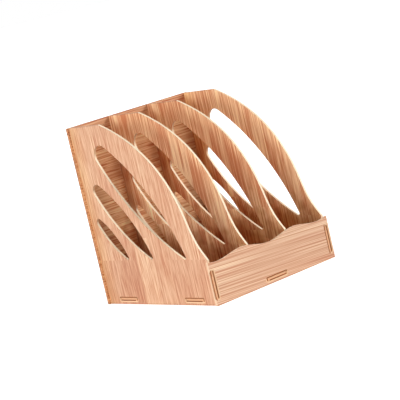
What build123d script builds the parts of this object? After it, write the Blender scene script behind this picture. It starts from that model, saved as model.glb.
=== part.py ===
from build123d import *
from math import cos, hypot, radians, sin
import os

# A wooden file rack of flat boards that slot together. Millimetres, +Z up, front towards -Y.
# The origin is the middle of the footprint, on the surface that the rack stands on.

# Overall sizes
width = 250.0
depth = 262.0
height = 283.0
front_height = 66.0
board = 4.0
overhang = 3.0
compartments = 3

# Outline of the uprights: a flat top, a long bow down to a knee, and a short hollow to the nose
top_flat_length = 74.0
shoulder_angle = 21.0
knee_depth = 25.0
knee_height = 112.5
knee_angle = 70.5
nose_height = 69.0
nose_angle = 52.0
bow_pull_shares = (0.63, 0.12)
hollow_pull_shares = (0.46, 0.39)

# Leaf-shaped cut-outs: tips and heads as shares of the upright behind the front panel's top
leaf_tip_shares = (0.170, 0.473, 0.702)
leaf_head_shares = ((0.901, 0.973), (0.970, 0.656), (0.980, 0.374))
leaf_front_bulge_share = 0.101
leaf_back_bulge_share = 0.085
leaf_head_rounding_share = 0.060
leaf_tip_radius = 3.5

# Wave along the top of the front panel: where each turn lies, and how far it is from the ends' height
dip_place_share = 0.088
dip_depth = 3.0
crest_place_share = 0.29
crest_height = 3.5
middle_dip_depth = 5.0

# Bottom panel, raised off the surface
floor_gap = 5.5

# Tenons and slots
tenon_length = 42.0
tenon_corner_radius = 1.7
tenon_recess_depth = 1.5
slot_play = 0.15
slot_lip_radius = 2.0
side_tenon_spread = 158.0
front_tenon_height = 31.0
back_tenon_low_height = 70.0
back_tenon_high_height = 215.0
divider_tenon_spread = 120.0

# Softened rims
rim_radius = 0.5

# Places worked out from the sizes
front_face = -depth / 2
back_face = depth / 2
upright_front = front_face + board
upright_back = back_face - board
upright_depth = upright_back - upright_front
side_face = width / 2 - overhang
inner_width = 2 * (side_face - board)
pitch = (inner_width + board) / compartments
floor_middle = floor_gap + board / 2
floor_top = floor_gap + board
tenon_reach = board - tenon_recess_depth
back_tenon_heights = (back_tenon_low_height, back_tenon_high_height)
side_tenon_places = (-side_tenon_spread / 2, side_tenon_spread / 2)
divider_tenon_places = (-divider_tenon_spread / 2, divider_tenon_spread / 2)
upright_middles = [-side_face + board / 2 + count * pitch for count in range(compartments + 1)]


def reach(point, length, angle):
    """The point that lies a length away, along an angle in degrees."""
    return (point[0] + length * cos(radians(angle)), point[1] + length * sin(radians(angle)))


def span(first, last):
    return hypot(last[0] - first[0], last[1] - first[1])


def upright_outline(plane, foot):
    """Outline of an upright in Y and Z, standing on the height of its foot."""
    shoulder = (upright_back - top_flat_length, height)
    knee = (upright_front + knee_depth, knee_height)
    nose = (upright_front, nose_height)
    bow = span(shoulder, knee)
    hollow = span(knee, nose)
    with BuildSketch(plane) as outline:
        with BuildLine():
            Polyline(nose, (upright_front, foot), (upright_back, foot), (upright_back, height), shoulder)
            Bezier(
                shoulder,
                reach(shoulder, -bow * bow_pull_shares[0], shoulder_angle),
                reach(knee, bow * bow_pull_shares[1], knee_angle),
                knee,
            )
            Bezier(
                knee,
                reach(knee, -hollow * hollow_pull_shares[0], knee_angle),
                reach(nose, hollow * hollow_pull_shares[1], nose_angle),
                nose,
            )
        make_face()
    return outline.sketch


def leaf_outline(plane, tip_share, head_share):
    """Outline of one leaf-shaped cut-out: two arcs from a fine tip to a blunt head."""
    tip = (upright_front + tip_share * upright_depth, front_height)
    head = (
        upright_front + head_share[0] * upright_depth,
        front_height + head_share[1] * (height - front_height),
    )
    leaf_length = span(tip, head)
    with BuildSketch(plane) as leaf:
        with BuildLine():
            SagittaArc(tip, head, leaf_length * leaf_front_bulge_share)
            SagittaArc(head, tip, leaf_length * leaf_back_bulge_share)
        make_face()
        fillet(leaf.vertices().sort_by(Axis.Y)[-1], leaf_length * leaf_head_rounding_share)
        fillet(leaf.vertices().sort_by(Axis.Y)[0], leaf_tip_radius)
    return leaf.sketch


def front_outline(plane):
    """Outline of the front panel in X and Z, with its wavy top."""
    half = width / 2
    wave = (
        (-half, front_height),
        (-half + dip_place_share * width, front_height - dip_depth),
        (-half + crest_place_share * width, front_height + crest_height),
        (0, front_height - middle_dip_depth),
        (half - crest_place_share * width, front_height + crest_height),
        (half - dip_place_share * width, front_height - dip_depth),
        (half, front_height),
    )
    with BuildSketch(plane) as outline:
        with BuildLine():
            Spline(*wave)
            Polyline(wave[-1], (half, 0), (-half, 0), wave[0])
        make_face()
    return outline.sketch


def rounded_end(plane, play):
    """Cross-section of a tenon, or of its slot when it is given some play."""
    with BuildSketch(plane) as section:
        RectangleRounded(tenon_length + 2 * play, board + 2 * play, tenon_corner_radius + play)
    return section.sketch


def add_tenons(planes):
    """Tenons that stand on the planes, each with its long way along its plane's X direction."""
    for plane in planes:
        extrude(rounded_end(plane, 0), amount=tenon_reach)


def cut_slots(planes):
    """Slots that go down through the board from their mouths on the planes."""
    for plane in planes:
        extrude(rounded_end(plane, slot_play), amount=-board, mode=Mode.SUBTRACT)


def soften_rims(piece, across, lowest):
    """Round the rims of a board's two faces, apart from the straight edges that meet other boards."""
    faces = piece.faces().sort_by(across)
    rims = faces[0].edges() + faces[-1].edges()
    fillet([edge for edge in rims if edge.bounding_box().min.Z > lowest], rim_radius)


def soften_mouths(piece, planes):
    """Round the lips of the slots whose mouths are on the planes."""
    lips = []
    for plane in planes:
        for edge in piece.edges():
            place = plane.to_local_coords(edge.center())
            near_length = abs(place.X) < tenon_length / 2 + 2 * slot_play
            near_width = abs(place.Y) < board / 2 + 2 * slot_play
            if abs(place.Z) < slot_play and near_length and near_width:
                lips.append(edge)
    fillet(lips, slot_lip_radius)


def facing_front(middle, across, place_height):
    """Plane on the front end of an upright, or under the mouth that takes its tenon."""
    return Plane((middle, across, place_height), (0, 0, 1), (0, -1, 0))


def facing_back(middle, across, place_height):
    return Plane((middle, across, place_height), (0, 0, 1), (0, 1, 0))


def upright(middle, foot, tenons, mouths):
    """One upright board, with its leaf-shaped cut-outs, tenons and slots."""
    face = Plane.YZ.offset(middle - board / 2)
    with BuildPart() as panel:
        extrude(upright_outline(face, foot), amount=board)
        for tip_share, head_share in zip(leaf_tip_shares, leaf_head_shares):
            extrude(leaf_outline(face, tip_share, head_share), amount=board, mode=Mode.SUBTRACT)
        soften_rims(panel, Axis.X, front_height / 2)
        add_tenons([facing_back(middle, upright_back, place) for place in back_tenon_heights])
        add_tenons(tenons)
        if mouths:
            cut_slots(mouths)
            soften_mouths(panel, mouths)
    return panel


def side_panel(middle, outward):
    """An outer upright on the surface, slotted near its foot for the bottom panel."""
    outer_face = middle + outward * board / 2
    mouths = [Plane((outer_face, place, floor_middle), (0, 1, 0), (outward, 0, 0)) for place in side_tenon_places]
    return upright(middle, 0, [facing_front(middle, upright_front, front_tenon_height)], mouths)


def divider(middle):
    """An inner upright on the bottom panel, with tenons on its foot."""
    tenons = [Plane((middle, place, floor_top), (0, 1, 0), (0, 0, -1)) for place in divider_tenon_places]
    return upright(middle, floor_top, tenons, [])


# Uprights
left_side_panel = side_panel(upright_middles[0], -1)
right_side_panel = side_panel(upright_middles[-1], 1)
left_divider = divider(upright_middles[1])
right_divider = divider(upright_middles[2])

# Bottom panel, with tenons on all four sides and slots for the dividers' feet
with BuildPart() as bottom_panel:
    with BuildSketch(Plane.XY.offset(floor_gap)):
        Rectangle(inner_width, upright_depth)
    extrude(amount=board)
    for place in side_tenon_places:
        add_tenons([Plane((side * inner_width / 2, place, floor_middle), (0, 1, 0), (side, 0, 0)) for side in (-1, 1)])
    add_tenons([Plane((0, side * upright_back, floor_middle), (1, 0, 0), (0, side, 0)) for side in (-1, 1)])
    for middle in upright_middles[1:-1]:
        cut_slots([Plane((middle, place, floor_top), (0, 1, 0), (0, 0, 1)) for place in divider_tenon_places])

# Front panel, low and wavy, with a slot for each side panel and one for the bottom panel
front_mouths = [
    facing_front(upright_middles[0], front_face, front_tenon_height),
    facing_front(upright_middles[-1], front_face, front_tenon_height),
    Plane((0, front_face, floor_middle), (1, 0, 0), (0, -1, 0)),
]
with BuildPart() as front_panel:
    extrude(front_outline(Plane.XZ.offset(-upright_front)), amount=board)
    soften_rims(front_panel, Axis.Y, front_height / 2)
    cut_slots(front_mouths)
    soften_mouths(front_panel, front_mouths)

# Back panel, as tall as the uprights, with two slots for each of them and one for the bottom panel
back_mouths = [Plane((0, back_face, floor_middle), (1, 0, 0), (0, 1, 0))]
for middle in upright_middles:
    back_mouths += [facing_back(middle, back_face, place) for place in back_tenon_heights]
with BuildPart() as back_panel:
    with BuildSketch(Plane.XZ.offset(-back_face)):
        with Locations((0, height / 2)):
            Rectangle(width, height)
    extrude(amount=board)
    soften_rims(back_panel, Axis.Y, front_height)
    cut_slots(back_mouths)
    soften_mouths(back_panel, back_mouths)

pieces = {
    "left_side_panel": left_side_panel,
    "right_side_panel": right_side_panel,
    "left_divider": left_divider,
    "right_divider": right_divider,
    "bottom_panel": bottom_panel,
    "front_panel": front_panel,
    "back_panel": back_panel,
}
os.makedirs("parts", exist_ok=True)
for label, piece in pieces.items():
    piece.part.label = label
    export_step(piece.part, f"parts/{label}.step")
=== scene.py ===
from dataclasses import dataclass
import math

import bpy
from mathutils import Matrix, Vector


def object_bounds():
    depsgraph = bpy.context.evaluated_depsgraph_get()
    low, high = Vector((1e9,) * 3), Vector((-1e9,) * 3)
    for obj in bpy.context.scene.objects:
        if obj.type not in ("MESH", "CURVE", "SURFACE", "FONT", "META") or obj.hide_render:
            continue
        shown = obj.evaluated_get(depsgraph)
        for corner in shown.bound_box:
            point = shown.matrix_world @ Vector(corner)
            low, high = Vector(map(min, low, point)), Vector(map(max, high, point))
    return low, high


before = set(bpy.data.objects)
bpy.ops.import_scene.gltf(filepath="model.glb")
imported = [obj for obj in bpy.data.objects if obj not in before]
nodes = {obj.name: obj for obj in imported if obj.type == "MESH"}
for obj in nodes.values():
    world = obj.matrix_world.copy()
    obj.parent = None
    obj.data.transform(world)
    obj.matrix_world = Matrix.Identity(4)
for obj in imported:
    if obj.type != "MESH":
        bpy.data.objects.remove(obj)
cad_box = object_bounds()
scene = bpy.context.scene

MM = 0.001
X, Y, Z = 0, 1, 2
WHITE = (1.0, 1.0, 1.0, 1.0)

# Sizes of the rack: its outside comes from the frame, and the rest follows the boards and their joints
HALF_WIDTH, BACK_FACE, TOP = cad_box[1]
BOARD = 4.0 * MM
OVERHANG = 3.0 * MM
INNER_BACK = BACK_FACE - BOARD
SIDE_MIDDLE = HALF_WIDTH - OVERHANG - BOARD / 2
OUTER_MIDDLES = (SIDE_MIDDLE, BACK_FACE - BOARD / 2)
TENON_START = INNER_BACK + 0.2 * MM

# Camera, as the photograph was taken: tipped about its own axis by the roll
CAMERA_PLACE = Vector((-1.6709, -2.0189, 0.5211))
CAMERA_AZIMUTH = -39.546
CAMERA_ELEVATION = 8.47
CAMERA_ROLL = -13.129
CAMERA_LENS = 154.74
CAMERA_SENSOR = 36.0
CAMERA_NEAREST = 0.05
CAMERA_FARTHEST = 50.0

# Soft studio lamps: azimuth and elevation in degrees, and the share of full light that each gives
LAMPS = (
    (-165, 34, 0.65),
    (-90, 8, 0.30),
    (-75, 8, 0.12),
    (-75, 34, 0.16),
    (15, 8, 0.32),
    (60, 34, 0.62),
)
LAMP_SOFTNESS = 18.0
WORLD_LIGHT = 0.03
FLOOR_SIZE = 30.0
FLOOR_COLOUR = (0.8, 0.8, 0.8, 1.0)
FLOOR_ROUGHNESS = 0.9
FLOOR_GLOW = 0.6


def srgb(red, green, blue):
    """A colour given as it looks, from 0 to 255, turned into the linear values that shaders use."""
    linear = []
    for value in (red, green, blue):
        share = value / 255
        linear.append(share / 12.92 if share <= 0.04045 else ((share + 0.055) / 1.055) ** 2.4)
    return (*linear, 1.0)


# Wood film: the colours of its grain, and the tints that its strips and boards multiply them by
DARK = srgb(196, 121, 86)
LIGHT = srgb(248, 212, 177)
PINK = (0.86, 0.76, 0.74, 1.0)
PALE = (1.12, 1.26, 1.30, 1.0)
WARM = (1.14, 1.18, 1.05, 1.0)
GOLDEN = (1.18, 1.22, 1.08, 1.0)
DULL = (1.07, 1.07, 0.93, 1.0)
BROWN = (1.24, 1.27, 1.05, 1.0)
FAIR = (1.0, 0.95, 0.91, 1.0)

# Layers of the film, as repeats in a metre across and along the grain, and how far the grain wanders
WANDER_REPEATS = (14.0, 6.0)
WANDER = 1.0 * MM
TINT_REPEATS = (18.0, 5.0)
TINT_SEED = 0.5
TINT_SHARE = 0.3
BAND_REPEATS = (34.0, 9.0)
STREAK_ROUGHNESS = 0.6
PORE_FINENESS = 420.0
PORE_RUNS = 2.5
PORE_RANGE = (0.56, 0.68)
CALM = 0.55

# Gloss and relief of the film
ROUGHNESS = (0.58, 0.46)
SPECULAR = 0.3
GRAIN_DEPTH = 0.04 * MM

# Strips of the film: they end at a joint, and some at a joint that lies a step higher. The grain of a
# strip is shifted by how pale the strip is, so that it breaks off at the strip's sides.
STRIP_WIDTH = 37.5 * MM
STRIP_EDGE = -2.7 * MM
STRIP_JOINT = 70.0 * MM
STRIP_STEP = 35.0 * MM
STRIP_STEP_CHANCE = 0.4
STRIP_LENGTH = 260.0 * MM
STRIP_PALENESS = (0.3, 0.7)
STRIP_SHIFT = 9.0
STRIP_SEED = 3.7

# Left side's strips, from the front: how pale each is below the joint and above it. The first lies
# four strips in front of the rack's middle, and the tall one ends higher than the others.
LEFT_LOWER_STRIPS = (0.4, 0.3, 0.35, 0.6, 0.9, 0.1, 0.4, 0.6)
LEFT_UPPER_STRIPS = (0.6, 0.6, 0.5, 0.6, 0.55, 0.35, 0.65, 0.7)
LEFT_FIRST_STRIP = -4
LEFT_TALL_STRIP = 0
LEFT_TALL_TOP = STRIP_JOINT + STRIP_STEP

# Bare parts: sawn rims, with painted shade on the rims that face down, flat tops, tenon ends, the back
# board's burnt ends, and painted shade in and round the slots
CORE = srgb(255, 236, 204)
FLAT_TOP = srgb(158, 112, 80)
FRONT_CORE = srgb(242, 209, 175)
# Painted shade on the sawn rims that face down
SHADED_CORE = srgb(212, 170, 132)
TENON = srgb(236, 184, 142)
LIP = srgb(240, 198, 156)
# Painted shade, laid in the slots' gaps and on their lips
SLOT_SHADE = srgb(156, 84, 28)
BACK_END = srgb(234, 164, 112)
SPECKS = srgb(140, 80, 48)

# Which way a surface faces, as the share of its normal along an axis
ON_FACE = 0.35
SIDEWAYS = 0.7
# Where the rims pass from painted shade, facing down, to pale core, facing up
RIM_SHADE_TURN = (-0.3, 0.25)
FLAT_TURN = (0.95, 0.995)

# Ends of the back board: scorched patches, and specks that gather towards the outer face
PATCH_REPEATS = (40.0, 25.0)
PATCH_RANGE = (0.3, 0.7)
PATCH_STRENGTH = 0.35
SPECK_REPEATS = (300.0, 330.0)
SPECK_RANGE = (0.5, 0.62)
SPECK_GATHERING = (-0.06, 0.12)
SPECK_PLACES = (INNER_BACK + 1.0 * MM, BACK_FACE)

# Heat on the film at the sides towards the back, painted shade at the top of the back board's inner
# face, and darker arrises at the bottom and top
SCORCHED = (1.03, 0.96, 0.78, 1.0)
SCORCH_PLACES = (INNER_BACK - 29.0 * MM, INNER_BACK)
# Painted shade at the top of the back board's inner face
TOP_BACK_SHADE = (0.74, 0.64, 0.66, 1.0)
TOP_BACK_SHADE_HEIGHTS = (TOP - 38.0 * MM, TOP - 15.0 * MM)
# Darker bands along the film's bottom and top arrises
ARRIS = (0.80, 0.72, 0.66, 1.0)
LOW_ARRIS_HEIGHTS = (0.8 * MM, 2.2 * MM)
TOP_ARRIS_HEIGHTS = (TOP - 1.4 * MM, TOP - 0.4 * MM)

# Painted shade low inside the rack, soft and brown with an uneven upper edge, and darker painted shade
# in the corners at the back
LOW_SHADE = (0.70, 0.58, 0.46, 1.0)
LOW_SHADE_REPEATS = (32.0, 32.0)
LOW_SHADE_ROUGHNESS = 0.6
LOW_SHADE_WANDER = 170.0 * MM
LOW_SHADE_HEIGHTS = (62.0 * MM, 108.0 * MM)
CORNER_SHADE = (0.45, 0.34, 0.28, 1.0)
CORNER_SHADE_HEIGHTS = (150.0 * MM, 265.0 * MM)
CORNER_SHADE_ON_BACK = (SIDE_MIDDLE - 48.0 * MM, SIDE_MIDDLE - 12.0 * MM)
CORNER_SHADE_ON_UPRIGHTS = (INNER_BACK - 27.0 * MM, INNER_BACK - 1.0 * MM)
CORNER_SHADE_ON_UPRIGHTS_STRENGTH = 0.6

# Slots for the tenons: half length, half width and corner of each, the rounded lip round its mouth,
# and the room round a slot in which a place counts as near it
SLOT_LONG = 21.15 * MM
SLOT_SHORT = 2.15 * MM
SLOT_CORNER = 1.85 * MM
LIP_WIDTH = 2.0 * MM
LIP_END = 0.4 * MM
SLOT_ROOM = 5.0 * MM

# Painted shade on the lip of one long side, in the gap along the other, and across the tenon at one end
# of a
# slot that lies down: how far from the slot's wall each begins and ends, and how a side is told
LIP_SHADE = (0.3 * MM, 2.1 * MM)
UPRIGHT_LIP_SHADE = 0.8 * MM
GAP_SHADE = (-1.3 * MM, 0.4 * MM)
GAP_SHADE_STOP = -6.0 * MM
END_SHADE = (-3.2 * MM, -1.2 * MM)
SHADE_SOFTNESS = 0.25 * MM
SHADE_TURN = (0.4, 0.8)

# Middles of the slots, along the board and up it, and whether they stand upright
FLOOR_MIDDLE = 7.5 * MM
FLOOR_TENON = 79.0 * MM
FRONT_TENON = 31.0 * MM
BACK_TENONS = (70.0 * MM, 215.0 * MM)
UPRIGHTS = (-SIDE_MIDDLE, -SIDE_MIDDLE / 3, SIDE_MIDDLE / 3, SIDE_MIDDLE)
FLOOR_SLOTS = [(-FLOOR_TENON, FLOOR_MIDDLE, False), (FLOOR_TENON, FLOOR_MIDDLE, False)]
CROSS_SLOTS = [(0.0, FLOOR_MIDDLE, False)]
FRONT_SLOTS = [(-SIDE_MIDDLE, FRONT_TENON, True), (SIDE_MIDDLE, FRONT_TENON, True)]
BACK_SLOTS = [(middle, height, True) for middle in UPRIGHTS for height in BACK_TENONS]

# Slots of each board, with the side that they open to
SLOTS = {
    "left_side_panel": (-1, FLOOR_SLOTS),
    "right_side_panel": (1, FLOOR_SLOTS),
    "front_panel": (-1, FRONT_SLOTS + CROSS_SLOTS),
    "back_panel": (1, BACK_SLOTS + CROSS_SLOTS),
}


@dataclass
class Grain:
    """How the film lies on a board, and how strong its bands, streaks and pores are.

    The axes say which way the board faces, and which way lies across and along the grain. Fineness
    and runs are the streaks' repeats in a metre, across and along it.
    """

    seed: float
    bands: float
    streaks: float
    pores: float
    tone: tuple = WHITE
    faces: int = X
    across: int = Y
    along: int = Z
    fineness: float = 480.0
    runs: float = 12.0
    slant: float = 0.0
    strips: bool = True
    listed_strips: tuple = ()
    calm_outside: bool = False


BOARDS = {
    "left_side_panel": Grain(
        seed=1.0, bands=0.1, streaks=2.0, pores=0.15, tone=FAIR, fineness=560.0, runs=22.0,
        listed_strips=(LEFT_LOWER_STRIPS, LEFT_UPPER_STRIPS),
    ),
    "left_divider": Grain(seed=2.0, bands=1.9, streaks=3.1, pores=0.2, tone=GOLDEN),
    "right_divider": Grain(seed=3.0, bands=1.7, streaks=3.2, pores=0.2, tone=DULL),
    "right_side_panel": Grain(seed=4.0, bands=1.4, streaks=3.0, pores=0.2, tone=WARM, calm_outside=True),
    "front_panel": Grain(
        seed=5.0, bands=0.1, streaks=2.7, pores=0.1, faces=Y, across=Z, along=X,
        fineness=620.0, runs=3.0, slant=0.055, strips=False,
    ),
    "back_panel": Grain(
        seed=6.0, bands=0.5, streaks=2.0, pores=0.6, tone=BROWN, faces=Y, across=Z, along=X,
        fineness=440.0, runs=7.0, calm_outside=True,
    ),
    "bottom_panel": Grain(
        seed=7.0, bands=0.8, streaks=1.8, pores=0.15, tone=WARM, faces=Z, across=Y, along=X,
    ),
}


class Tree:
    """The nodes of a material or a world, with short calls to add and join them."""

    def __init__(self, owner):
        owner.use_nodes = True
        self.nodes = owner.node_tree.nodes
        self.links = owner.node_tree.links

    def join(self, source, target):
        self.links.new(source, target)

    def feed(self, node, inputs):
        """Join or set a node's inputs, and give back its first output."""
        for key, value in inputs.items():
            if isinstance(value, bpy.types.NodeSocket):
                self.join(value, node.inputs[key])
            else:
                node.inputs[key].default_value = value
        return node.outputs[0]

    def math(self, operation, first, second=0.0, third=0.0):
        node = self.nodes.new("ShaderNodeMath")
        node.operation = operation
        return self.feed(node, {0: first, 1: second, 2: third})

    def add(self, first, second):
        return self.math("ADD", first, second)

    def subtract(self, first, second):
        return self.math("SUBTRACT", first, second)

    def multiply(self, first, *others):
        for other in others:
            first = self.math("MULTIPLY", first, other)
        return first

    def multiply_add(self, first, second, third):
        return self.math("MULTIPLY_ADD", first, second, third)

    def absolute(self, value):
        return self.math("ABSOLUTE", value)

    def largest(self, first, *others):
        for other in others:
            first = self.math("MAXIMUM", first, other)
        return first

    def same(self, value, whole):
        """1 where the value is the whole number given, and 0 elsewhere."""
        return self.math("COMPARE", value, whole, 0.1)

    def above(self, value, limit):
        """1 where the value is above the limit, and 0 elsewhere."""
        return self.math("GREATER_THAN", value, limit)

    def below(self, value, limit):
        """1 where the value is below the limit, and 0 elsewhere."""
        return self.math("LESS_THAN", value, limit)

    def spread(self, value, low, high, to_low=0.0, to_high=1.0):
        """The value taken from one range to another, and held at its ends."""
        node = self.nodes.new("ShaderNodeMapRange")
        return self.feed(node, {0: value, 1: low, 2: high, 3: to_low, 4: to_high})

    def band(self, value, low, high, softness):
        """1 between two values and 0 outside them, with soft ends."""
        rise = self.spread(value, low - softness, low + softness)
        fall = self.spread(value, high - softness, high + softness, 1.0, 0.0)
        return self.multiply(rise, fall)

    def choose(self, factor, first, second):
        """A plain value between two others."""
        node = self.nodes.new("ShaderNodeMix")
        return self.feed(node, {0: factor, 2: first, 3: second})

    def mix(self, factor, first, second, blend="MIX"):
        """A colour between two others."""
        node = self.nodes.new("ShaderNodeMix")
        node.data_type = "RGBA"
        node.blend_type = blend
        self.feed(node, {0: factor, 6: first, 7: second})
        return node.outputs[2]

    def tinted(self, colour, tint, amount=1.0):
        """A colour multiplied by a tint, as far as the amount says."""
        return self.mix(amount, colour, tint, "MULTIPLY")

    def vector(self, x, y, z):
        return self.feed(self.nodes.new("ShaderNodeCombineXYZ"), {0: x, 1: y, 2: z})

    def parts(self, vector):
        node = self.nodes.new("ShaderNodeSeparateXYZ")
        self.feed(node, {0: vector})
        return node.outputs

    def scaled(self, across, along, repeats, shift):
        """A place in a noise, with its repeats in a metre across and along the grain."""
        return self.vector(self.multiply(across, repeats[0]), self.multiply(along, repeats[1]), shift)

    def noise(self, vector, detail=2.0, roughness=0.5):
        node = self.nodes.new("ShaderNodeTexNoise")
        inputs = {"Vector": vector, "Scale": 1.0, "Detail": detail, "Roughness": roughness}
        return self.feed(node, inputs)

    def centred(self, noise):
        """A noise that swings to both sides of nothing."""
        return self.subtract(noise, 0.5)

    def white(self, first, second):
        """A random value for each pair of whole numbers."""
        node = self.nodes.new("ShaderNodeTexWhiteNoise")
        node.noise_dimensions = "3D"
        return self.feed(node, {"Vector": self.vector(first, second, z=0.5)})

    def bump(self, height, depth):
        node = self.nodes.new("ShaderNodeBump")
        return self.feed(node, {"Height": height, "Distance": depth, "Strength": 1.0})


def listed_paleness(tree, strip, along, lists):
    """How pale each strip is from the lists, below the joint and above it."""
    lower, upper = 0.0, 0.0
    for count, (lower_paleness, upper_paleness) in enumerate(zip(*lists)):
        here = tree.same(strip, LEFT_FIRST_STRIP + count)
        lower = tree.multiply_add(here, lower_paleness, lower)
        upper = tree.multiply_add(here, upper_paleness, upper)
    tall = tree.same(strip, LEFT_TALL_STRIP)
    top = tree.multiply_add(tall, LEFT_TALL_TOP - STRIP_JOINT, STRIP_JOINT)
    return tree.choose(tree.below(along, top), upper, lower)


def strip_paleness(tree, across, along, grain):
    """How pale each strip of the film is, between two joints."""
    strip = tree.math("FLOOR", tree.math("DIVIDE", tree.subtract(across, STRIP_EDGE), STRIP_WIDTH))
    if grain.listed_strips:
        return listed_paleness(tree, strip, along, grain.listed_strips)
    stepped = tree.above(tree.white(strip, grain.seed), 1.0 - STRIP_STEP_CHANCE)
    joint = tree.multiply_add(stepped, STRIP_STEP, STRIP_JOINT)
    piece = tree.math("FLOOR", tree.math("DIVIDE", tree.subtract(along, joint), STRIP_LENGTH))
    paleness = tree.white(strip, tree.add(piece, grain.seed * STRIP_SEED))
    return tree.spread(paleness, 0.0, 1.0, *STRIP_PALENESS)


def film(tree, across, along, facing, grain):
    """Colour and shade of the printed film, from the distances across and along its grain."""
    slanted = tree.multiply_add(along, grain.slant, across)
    wander = tree.noise(tree.scaled(slanted, along, WANDER_REPEATS, grain.seed))
    bent = tree.multiply_add(tree.centred(wander), WANDER, slanted)
    paleness = tree.noise(tree.scaled(bent, along, TINT_REPEATS, grain.seed + TINT_SEED), detail=1.0)
    shift = grain.seed
    if grain.strips:
        strip = strip_paleness(tree, across, along, grain)
        paleness = tree.add(tree.multiply_add(paleness, TINT_SHARE, -TINT_SHARE / 2), strip)
        shift = tree.multiply_add(strip, STRIP_SHIFT, grain.seed)
    bands = tree.noise(tree.scaled(bent, along, BAND_REPEATS, shift))
    streak_repeats = (grain.fineness, grain.runs)
    streaks = tree.noise(tree.scaled(bent, along, streak_repeats, shift), roughness=STREAK_ROUGHNESS)
    pore_repeats = (PORE_FINENESS, PORE_RUNS * grain.runs)
    pores = tree.noise(tree.scaled(bent, along, pore_repeats, shift), detail=1.0)
    shade = tree.spread(pores, *PORE_RANGE, 0.0, -grain.pores)
    for layer, strength in ((bands, grain.bands), (streaks, grain.streaks)):
        shade = tree.multiply_add(tree.centred(layer), strength, shade)
    tone = grain.tone
    if grain.calm_outside:
        outside = tree.above(facing, 0.0)
        shade = tree.multiply(shade, tree.multiply_add(outside, CALM - 1.0, 1.0))
        tone = tree.mix(outside, grain.tone, FAIR)
    shade = tree.add(shade, 0.5)
    colour = tree.tinted(tree.mix(shade, DARK, LIGHT), tree.mix(paleness, PINK, PALE))
    return tree.tinted(colour, tone), shade


def nearest_slot(tree, across, up, slots):
    """Whether a slot is near and stands upright, how far its middle is, and its straight halves."""
    near, turned, aside, above, half_across, half_up = 0.0, 0.0, 0.0, 0.0, 0.0, 0.0
    for slot_across, slot_up, upright in slots:
        half = (SLOT_SHORT, SLOT_LONG) if upright else (SLOT_LONG, SLOT_SHORT)
        off_across = tree.subtract(across, slot_across)
        off_up = tree.subtract(up, slot_up)
        here = tree.multiply(
            tree.below(tree.absolute(off_across), half[0] + SLOT_ROOM),
            tree.below(tree.absolute(off_up), half[1] + SLOT_ROOM),
        )
        near = tree.add(near, here)
        aside = tree.multiply_add(here, off_across, aside)
        above = tree.multiply_add(here, off_up, above)
        half_across = tree.multiply_add(here, half[0] - SLOT_CORNER, half_across)
        half_up = tree.multiply_add(here, half[1] - SLOT_CORNER, half_up)
        if upright:
            turned = tree.add(turned, here)
    return near, turned, (aside, above), (half_across, half_up)


def painted_slot_shade(tree, distance, side, aside, turned):
    """How much painted shade lies on one lip, in the gap at the other, and across the tenon's end."""
    # Painted shade: on the lip of one side, in the gap at the other, and across the tenon's end
    drawn_in = tree.multiply_add(turned, -UPRIGHT_LIP_SHADE, distance)
    lip = tree.largest(*[tree.band(reach, *LIP_SHADE, SHADE_SOFTNESS) for reach in (distance, drawn_in)])
    lip = tree.multiply(lip, tree.spread(side, *SHADE_TURN))
    from_end = tree.subtract(tree.multiply(aside, -1.0), SLOT_LONG)
    clear_of_end = tree.largest(turned, tree.below(from_end, GAP_SHADE_STOP))
    other_side = tree.spread(tree.multiply(side, -1.0), *SHADE_TURN)
    gap = tree.multiply(tree.band(distance, *GAP_SHADE, SHADE_SOFTNESS), other_side, clear_of_end)
    lying = tree.subtract(1.0, turned)
    on_tenon = tree.below(distance, 0.0)
    end = tree.multiply(tree.band(from_end, *END_SHADE, SHADE_SOFTNESS), lying, on_tenon)
    return tree.largest(lip, gap, end)


def slot_colour(tree, across, up, slots, colour):
    """The colour given, with bare wood and painted shade over it round the slots and on the tenons in
    them.
    """
    near, turned, offsets, halves = nearest_slot(tree, across, up, slots)
    outward = []
    for offset, half in zip(offsets, halves):
        past = tree.largest(tree.subtract(tree.absolute(offset), half), 0.0)
        outward.append(tree.multiply(past, tree.math("SIGN", offset)))
    length = tree.math("SQRT", tree.add(*[tree.multiply(part, part) for part in outward]))
    distance = tree.subtract(length, SLOT_CORNER)
    leftward = tree.multiply(tree.math("DIVIDE", outward[0], length), -1.0)
    upward = tree.math("DIVIDE", outward[1], length)
    side = tree.choose(turned, upward, leftward)
    slot_shade_amount = painted_slot_shade(tree, distance, side, offsets[0], turned)
    bare = tree.spread(distance, LIP_WIDTH, LIP_WIDTH + LIP_END, 1.0, 0.0)
    bare_colour = tree.mix(tree.below(distance, 0.0), LIP, TENON)
    dressed = tree.mix(tree.multiply(near, bare), colour, bare_colour)
    # Painted shade over the lips, gaps and tenon ends round the slots
    return tree.mix(tree.multiply(near, slot_shade_amount), dressed, SLOT_SHADE)


def back_ends(tree, place):
    """Orange ends of the back board, scorched in patches and speckled."""
    noises = []
    for across, up in (PATCH_REPEATS, SPECK_REPEATS):
        spot = tree.vector(0.0, tree.multiply(place[Y], across), tree.multiply(place[Z], up))
        noises.append(tree.noise(spot))
    patches, specks = noises
    scorched = tree.mix(tree.spread(patches, *PATCH_RANGE, PATCH_STRENGTH, 0.0), BACK_END, SPECKS)
    gathering = tree.spread(place[Y], *SPECK_PLACES, *SPECK_GATHERING)
    return tree.mix(tree.spread(tree.add(specks, gathering), *SPECK_RANGE), scorched, SPECKS)


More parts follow.
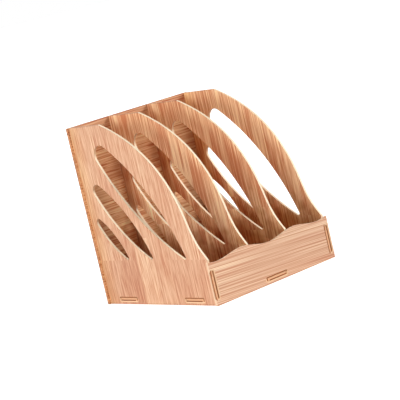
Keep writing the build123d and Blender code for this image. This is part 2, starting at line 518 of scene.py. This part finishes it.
def edge_colour(tree, name, place, facing):
    """Colour of a board's edges: pale sawn rims with painted shade on those that face down, browner flat
    tops, and tenon ends with painted shade round the slots.
    """
    if name == "front_panel":
        return FRONT_CORE
    sideways = tree.above(tree.absolute(facing[X]), SIDEWAYS)
    if name == "bottom_panel":
        ends = slot_colour(tree, place[X], place[Z], CROSS_SLOTS, TENON)
        sides = slot_colour(tree, place[Y], place[Z], FLOOR_SLOTS, TENON)
        return tree.mix(sideways, ends, sides)
    # Painted shade on the rims that face down
    rim = tree.mix(tree.spread(facing[Z], *RIM_SHADE_TURN), SHADED_CORE, CORE)
    rim = tree.mix(tree.spread(facing[Z], *FLAT_TURN), rim, FLAT_TOP)
    if name == "back_panel":
        return tree.mix(sideways, rim, back_ends(tree, place))
    tenons = slot_colour(tree, place[X], place[Z], FRONT_SLOTS + BACK_SLOTS, TENON)
    return tree.mix(tree.above(tree.absolute(place[Y]), TENON_START), rim, tenons)


def shaded_inside(tree, colour, place, grain):
    """The colour given, with painted shade on the faces that look into the rack: low down, and in the
    corners.
    """
    level = place[Y if grain.faces == X else X]
    low_shade_place = tree.scaled(level, place[Z], LOW_SHADE_REPEATS, grain.seed)
    patches = tree.noise(low_shade_place, roughness=LOW_SHADE_ROUGHNESS)
    uneven_height = tree.multiply_add(tree.centred(patches), LOW_SHADE_WANDER, place[Z])
    low = tree.spread(uneven_height, *LOW_SHADE_HEIGHTS, 1.0, 0.0)
    if grain.faces == X:
        corner = tree.spread(place[Y], *CORNER_SHADE_ON_UPRIGHTS, 0.0, CORNER_SHADE_ON_UPRIGHTS_STRENGTH)
    else:
        corner = tree.spread(tree.absolute(place[X]), *CORNER_SHADE_ON_BACK)
    corner = tree.multiply(corner, tree.spread(place[Z], *CORNER_SHADE_HEIGHTS, 1.0, 0.0))
    within = [tree.below(tree.absolute(place[axis]), OUTER_MIDDLES[axis]) for axis in (X, Y)]
    inside = tree.multiply(*within)
    # Painted shade low inside the rack, then in its back corners
    colour = tree.tinted(colour, LOW_SHADE, tree.multiply(inside, low))
    return tree.tinted(colour, CORNER_SHADE, tree.multiply(inside, corner))


def heated_and_shaded(tree, name, colour, place, facing, grain):
    """The film's colour, yellowed by heat at the sides towards the back, with painted shade low inside
    the rack, in its back corners and at the top of the back board's inner face, and darker along the
    bottom and top arrises.
    """
    if name in ("left_side_panel", "right_side_panel"):
        colour = tree.tinted(colour, SCORCHED, tree.spread(place[Y], *SCORCH_PLACES))
    if grain.faces != Z:
        colour = shaded_inside(tree, colour, place, grain)
    if name == "back_panel":
        # Painted shade on the top of the back board's inner face
        top_back_shade = tree.multiply(tree.spread(place[Z], *TOP_BACK_SHADE_HEIGHTS), tree.below(facing[Y], 0.0))
        colour = tree.tinted(colour, TOP_BACK_SHADE, top_back_shade)
    # Darker along the bottom and top arrises
    low_arris = tree.spread(place[Z], *LOW_ARRIS_HEIGHTS, 1.0, 0.0)
    top_arris = tree.spread(place[Z], *TOP_ARRIS_HEIGHTS)
    return tree.tinted(colour, ARRIS, tree.largest(low_arris, top_arris))


def mouths_added(tree, name, colour, place, grain):
    """The colour given, with the slots' mouths laid over it on the outer face of a board."""
    side, slots = SLOTS[name]
    mouths = slot_colour(tree, place[Y if grain.faces == X else X], place[Z], slots, colour)
    outer_half = tree.above(tree.multiply(place[grain.faces], side), OUTER_MIDDLES[grain.faces])
    if grain.faces == X:
        on_board = tree.below(tree.absolute(place[Y]), TENON_START)
        outer_half = tree.multiply(outer_half, on_board)
    return tree.mix(outer_half, colour, mouths)


def board_material(name, grain):
    """Film on the two faces of a board, bare core on its edges, and bare lips round its slots with
    painted shade on them.
    """
    material = bpy.data.materials.new(name)
    tree = Tree(material)
    place = tree.parts(tree.nodes.new("ShaderNodeTexCoord").outputs["Object"])
    facing = tree.parts(tree.nodes.new("ShaderNodeNewGeometry").outputs["Normal"])
    colour, shade = film(tree, place[grain.across], place[grain.along], facing[grain.faces], grain)
    colour = heated_and_shaded(tree, name, colour, place, facing, grain)
    on_face = tree.above(tree.absolute(facing[grain.faces]), ON_FACE)
    colour = tree.mix(on_face, edge_colour(tree, name, place, facing), colour)
    if name in SLOTS:
        colour = mouths_added(tree, name, colour, place, grain)
    tree.feed(tree.nodes["Principled BSDF"], {
        "Base Color": colour,
        "Roughness": tree.spread(shade, 0.0, 1.0, *ROUGHNESS),
        "Normal": tree.bump(shade, GRAIN_DEPTH),
        "Specular IOR Level": SPECULAR,
    })
    return material


def dress_boards():
    for name, grain in BOARDS.items():
        board = nodes[name]
        board.data.materials.clear()
        board.data.materials.append(board_material(name, grain))


def direction(azimuth, elevation):
    """The way out from the rack, in degrees from straight in front and up from level."""
    turn, lift = math.radians(azimuth), math.radians(elevation)
    return Vector((math.sin(turn) * math.cos(lift), -math.cos(turn) * math.cos(lift), math.sin(lift)))


def make_camera():
    roll = math.radians(CAMERA_ROLL)
    back = direction(CAMERA_AZIMUTH, CAMERA_ELEVATION)
    level_right = Vector((-back.y, back.x, 0.0)).normalized()
    level_up = back.cross(level_right)
    right = math.cos(roll) * level_right + math.sin(roll) * level_up
    up = math.cos(roll) * level_up - math.sin(roll) * level_right
    turn = Matrix((right, up, back)).transposed()
    data = bpy.data.cameras.new("camera")
    data.lens = CAMERA_LENS
    data.sensor_width = CAMERA_SENSOR
    data.clip_start = CAMERA_NEAREST
    data.clip_end = CAMERA_FARTHEST
    camera = bpy.data.objects.new("camera", data)
    camera.matrix_world = Matrix.Translation(CAMERA_PLACE) @ turn.to_4x4()
    scene.collection.objects.link(camera)
    scene.camera = camera


def make_lights():
    for count, (azimuth, elevation, share) in enumerate(LAMPS):
        data = bpy.data.lights.new(f"lamp_{count}", "SUN")
        data.energy = math.pi * share
        data.angle = math.radians(LAMP_SOFTNESS)
        lamp = bpy.data.objects.new(f"lamp_{count}", data)
        lamp.rotation_mode = "QUATERNION"
        lamp.rotation_quaternion = (-direction(azimuth, elevation)).to_track_quat("-Z", "Y")
        scene.collection.objects.link(lamp)


def seen_rays(tree):
    """1 for the rays that show the background: straight to the camera, mirrored, or through glass."""
    rays = tree.nodes.new("ShaderNodeLightPath").outputs
    total = rays["Is Camera Ray"]
    for kind in ("Is Glossy Ray", "Is Transmission Ray"):
        total = tree.add(total, rays[kind])
    return tree.math("MINIMUM", total, 1.0)


def make_world():
    """White where the background is seen, and a faint even light on everything else."""
    world = bpy.data.worlds.new("studio")
    tree = Tree(world)
    faint = tree.feed(tree.nodes["Background"], {"Color": WHITE, "Strength": WORLD_LIGHT})
    white = tree.feed(tree.nodes.new("ShaderNodeBackground"), {"Color": WHITE, "Strength": 1.0})
    chosen = tree.nodes.new("ShaderNodeMixShader")
    tree.feed(chosen, {0: seen_rays(tree), 1: faint, 2: white})
    tree.join(chosen.outputs[0], tree.nodes["World Output"].inputs["Surface"])
    scene.world = world


def make_floor():
    """A pale floor: matt white under the lamps, and brought up to full white where it is seen."""
    material = bpy.data.materials.new("floor")
    tree = Tree(material)
    matt_inputs = {"Base Color": FLOOR_COLOUR, "Roughness": FLOOR_ROUGHNESS}
    matt = tree.feed(tree.nodes["Principled BSDF"], matt_inputs)
    strength = tree.multiply(seen_rays(tree), FLOOR_GLOW)
    glow = tree.feed(tree.nodes.new("ShaderNodeEmission"), {"Color": WHITE, "Strength": strength})
    both = tree.feed(tree.nodes.new("ShaderNodeAddShader"), {0: matt, 1: glow})
    tree.join(both, tree.nodes["Material Output"].inputs["Surface"])
    bpy.ops.mesh.primitive_plane_add(size=FLOOR_SIZE, location=(0.0, 0.0, 0.0))
    floor = bpy.context.object
    floor.name = "floor"
    floor.data.materials.append(material)


make_camera()
make_world()
make_lights()
make_floor()
dress_boards()
scene.view_settings.view_transform = "Standard"
